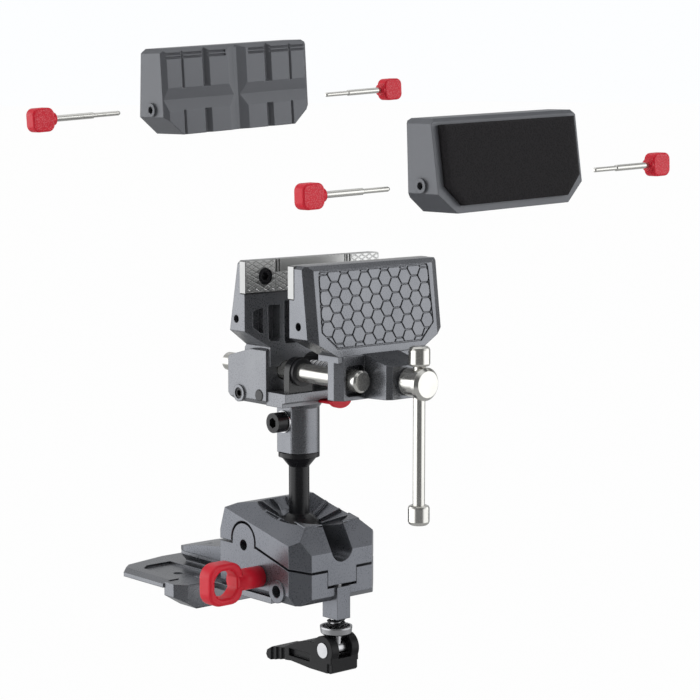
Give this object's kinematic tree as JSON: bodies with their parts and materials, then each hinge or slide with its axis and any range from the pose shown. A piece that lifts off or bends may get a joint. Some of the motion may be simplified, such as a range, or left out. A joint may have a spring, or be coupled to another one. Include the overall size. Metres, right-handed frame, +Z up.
{
  "type": "swivel bench vise",
  "caption": "Swivel bench vise on a ball clamp with a bench plate, a screw-driven jaw on guide rods, a sliding handle bar, slip-on soft jaws and their pins.",
  "frame": {"origin": "midway between the two bench bolts, on the underside of the bench plate", "axes": "+Z up, X along the jaws, -Y towards the handle"},
  "size_m": [0.3435, 0.2936, 0.4079],
  "materials": {
    "casting": "satin grey coat over a cast grain",
    "black_steel": "black oxide",
    "black_plastic": "satin",
    "plain_steel": "turned",
    "jaw_steel": "ground, with a diamond knurl",
    "polished_steel": "polished",
    "red_plastic": "satin",
    "sleeve_plastic": "matte",
    "foam": "closed-cell foam"
  },
  "bodies": {
    "bench_clamp": {"bench_plate": "casting", "edge_lip": "casting", "lip_screws": "black_steel", "base_lower": "casting", "base_cap": "casting", "hinge_pins": "black_steel", "cross_plugs": "black_plastic", "clamp_stud": "plain_steel", "stud_anchor_pin": "plain_steel", "release_spring": "black_steel", "cup_washer": "plain_steel", "cam_barrel_pin": "plain_steel", "sleeve_rear": "sleeve_plastic", "sleeve_front": "sleeve_plastic", "foam_rear": "foam", "foam_front": "foam"},
    "ball_post": {"ball_stud": "black_steel", "post_collar": "black_steel"},
    "vise_head": {"post_tube": "casting", "clamp_screw": "black_steel", "clamp_washer": "plain_steel", "head_body": "casting", "rear_jaw_face": "jaw_steel", "rear_face_screws": "black_steel", "guide_bush_left": "black_plastic", "guide_bush_right": "black_plastic", "lead_nut": "black_steel", "body_screws": "black_steel", "body_plugs": "black_plastic", "paddle_pin": "plain_steel"},
    "moving_jaw": {"front_jaw": "casting", "front_jaw_face": "jaw_steel", "front_face_screws": "black_steel", "guide_rod_left": "polished_steel", "guide_rod_right": "polished_steel"},
    "screw_set": {"lead_screw": "plain_steel", "thrust_washer": "plain_steel", "screw_collar": "black_plastic", "handle_hub": "polished_steel"},
    "sliding_bar": {"handle_bar": "polished_steel", "handle_cap_top": "polished_steel", "handle_cap_bottom": "polished_steel"},
    "paddle": {"release_paddle": "red_plastic"},
    "lever": {"cam_lever": "black_steel"},
    "rail_lock": {"lock_ring": "red_plastic", "lock_shaft": "plain_steel"},
    "pin_1": {"pin_shaft_1": "polished_steel", "pin_head_1": "red_plastic"},
    "pin_2": {"pin_shaft_2": "polished_steel", "pin_head_2": "red_plastic"},
    "pin_3": {"pin_shaft_3": "polished_steel", "pin_head_3": "red_plastic"},
    "pin_4": {"pin_shaft_4": "polished_steel", "pin_head_4": "red_plastic"}
  },
  "joints": [
    {"name": "ball_tilt", "type": "hinge", "parent": "bench_clamp", "child": "ball_post", "pos_m": [0, -0.086, 0.0385], "axis": [1, 0, 0], "range_deg": [-15, 60]},
    {"name": "head_swivel", "type": "hinge", "parent": "ball_post", "child": "vise_head", "pos_m": [0, -0.086, 0.12], "axis": [0, 0, 1], "continuous": true},
    {"name": "jaw_slide", "type": "slide", "parent": "vise_head", "child": "moving_jaw", "axis": [0, 1, 0], "range_m": [-0.04, 0.0415]},
    {"name": "screw_turn", "type": "hinge", "parent": "moving_jaw", "child": "screw_set", "pos_m": [0, -0.201, 0.1505], "axis": [0, 1, 0], "range_deg": [-3604, 3739]},
    {"name": "bar_slide", "type": "slide", "parent": "screw_set", "child": "sliding_bar", "axis": [0, 0, 1], "range_m": [0, 0.065]},
    {"name": "paddle_press", "type": "hinge", "parent": "vise_head", "child": "paddle", "pos_m": [0, -0.1045, 0.1307], "axis": [1, 0, 0], "range_deg": [0, 12], "stiffness_Nm_per_rad": 0.05, "springref_deg": -5.73},
    {"name": "lever_swing", "type": "hinge", "parent": "bench_clamp", "child": "lever", "pos_m": [0, -0.123, -0.0302], "axis": [-1, 0, 0], "range_deg": [0, 90]},
    {"name": "lock_turn", "type": "hinge", "parent": "bench_clamp", "child": "rail_lock", "pos_m": [-0.05, -0.0895, 0.0165], "axis": [-1, 0, 0], "range_deg": [0, 90]},
    {"name": "pin_1_slide", "type": "slide", "parent": "bench_clamp", "child": "pin_1", "axis": [0.9981, 0, 0.061], "range_m": [0, 0.074]},
    {"name": "pin_2_slide", "type": "slide", "parent": "bench_clamp", "child": "pin_2", "axis": [-0.9981, 0, -0.061], "range_m": [0, 0.074]},
    {"name": "pin_3_slide", "type": "slide", "parent": "bench_clamp", "child": "pin_3", "axis": [0.9994, 0, 0.0349], "range_m": [0, 0.074]},
    {"name": "pin_4_slide", "type": "slide", "parent": "bench_clamp", "child": "pin_4", "axis": [-0.9994, 0, -0.0349], "range_m": [0, 0.074]}
  ],
  "couplings": [
    {"joint": "screw_turn", "follows": "jaw_slide", "rad_per_m": 1570.8}
  ]
}
